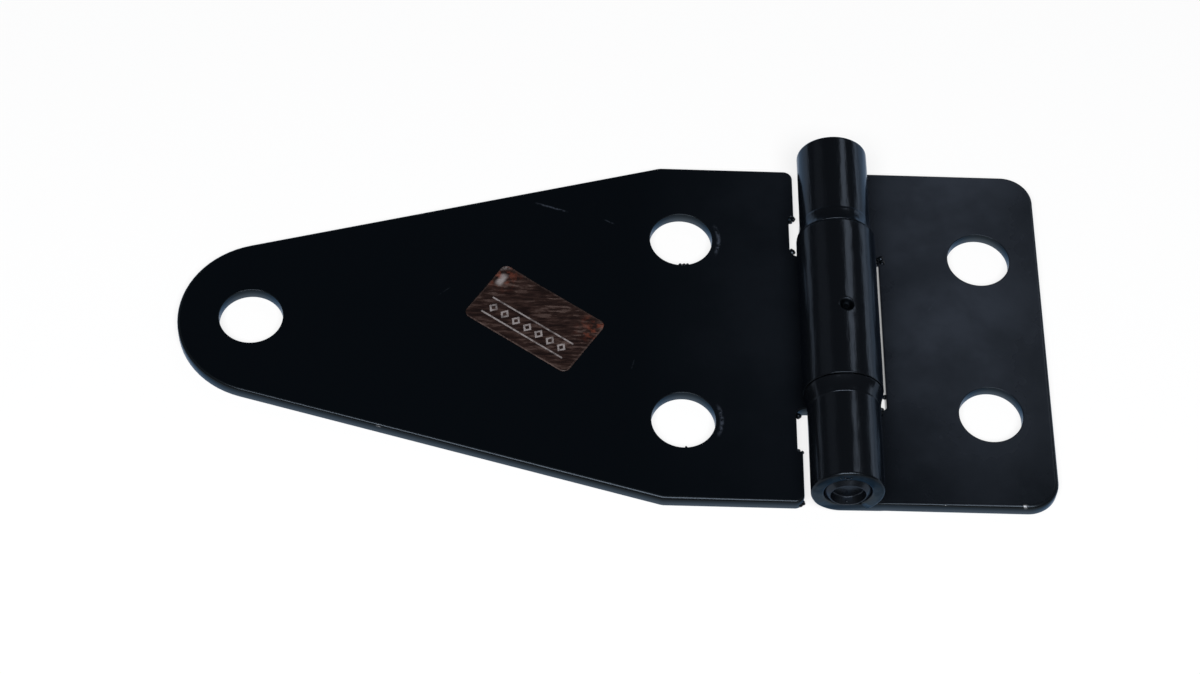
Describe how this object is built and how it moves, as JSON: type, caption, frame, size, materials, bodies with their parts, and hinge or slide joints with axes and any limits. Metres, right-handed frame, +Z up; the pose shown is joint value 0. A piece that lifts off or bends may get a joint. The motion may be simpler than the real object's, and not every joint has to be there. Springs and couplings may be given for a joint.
{
  "type": "bonnet hinge",
  "caption": "Black painted strap hinge for a vehicle bonnet: a long tapered leaf and a short body leaf whose rolled eyes turn on a shared pin.",
  "frame": {"origin": "midway between the body leaf's bolt holes, on its seating face", "axes": "+X from the bonnet leaf's tip towards the body leaf, +Y along the pin, +Z up from the seating faces"},
  "size_m": [0.1522, 0.0726, 0.014],
  "materials": {
    "leaf_paint": "satin black paint",
    "pin_paint": "satin black paint",
    "bush_bronze": "plain turned bronze"
  },
  "bodies": {
    "body_side": {"body_leaf": "leaf_paint", "hinge_pin": "pin_paint"},
    "bonnet_side": {"bonnet_leaf": "leaf_paint", "pivot_bush": "bush_bronze"}
  },
  "joints": [
    {"name": "bonnet_swing", "type": "hinge", "parent": "body_side", "child": "bonnet_side", "pos_m": [-0.0262, 0, 0.00702], "axis": [0, 1, 0], "range_deg": [-80, 190]}
  ]
}
